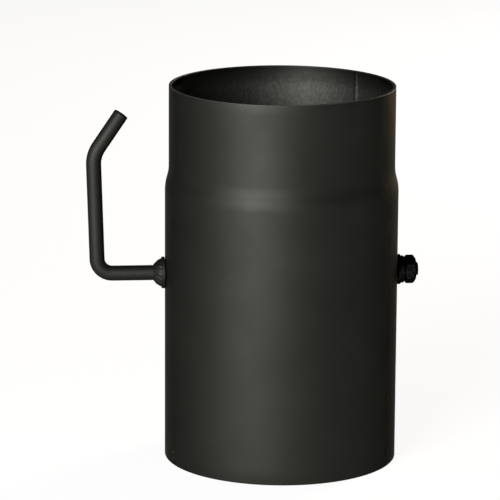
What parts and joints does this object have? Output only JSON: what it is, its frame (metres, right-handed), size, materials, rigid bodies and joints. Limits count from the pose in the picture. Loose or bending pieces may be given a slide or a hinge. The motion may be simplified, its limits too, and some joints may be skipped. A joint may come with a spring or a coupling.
{
  "type": "stove pipe",
  "caption": "Painted steel stove pipe section, reduced to a spigot on top and plain below, with a butterfly damper turned by a bent bar handle.",
  "frame": {"origin": "on the pipe's axis, in the plane of the plain lower end", "axes": "+Z along the pipe towards the spigot, +X along the damper's shaft towards the lock nut, so the handle is at -X"},
  "size_m": [0.2199, 0.154, 0.25],
  "materials": {
    "pipe_paint": "satin heat-resistant black paint",
    "handle_paint": "satin heat-resistant black paint on a round bar",
    "black_steel": "blackened steel fasteners",
    "mill_steel": "dark rolled sheet with mill scale",
    "zinc_steel": "zinc plated"
  },
  "bodies": {
    "pipe_body": {"pipe": "pipe_paint"},
    "damper": {"handle_shaft": "handle_paint", "stop_washer": "handle_paint", "stop_weld": "handle_paint", "flat_washer": "black_steel", "spring_washer": "black_steel", "lock_nut": "black_steel", "damper_plate": "mill_steel", "plate_bolt_left": "zinc_steel", "plate_bolt_right": "zinc_steel", "plate_washer_left": "zinc_steel", "plate_washer_right": "zinc_steel", "plate_nut_left": "zinc_steel", "plate_nut_right": "zinc_steel"}
  },
  "joints": [
    {"name": "damper_turn", "type": "hinge", "parent": "pipe_body", "child": "damper", "pos_m": [0, 0, 0.125], "axis": [1, 0, 0], "continuous": true}
  ]
}
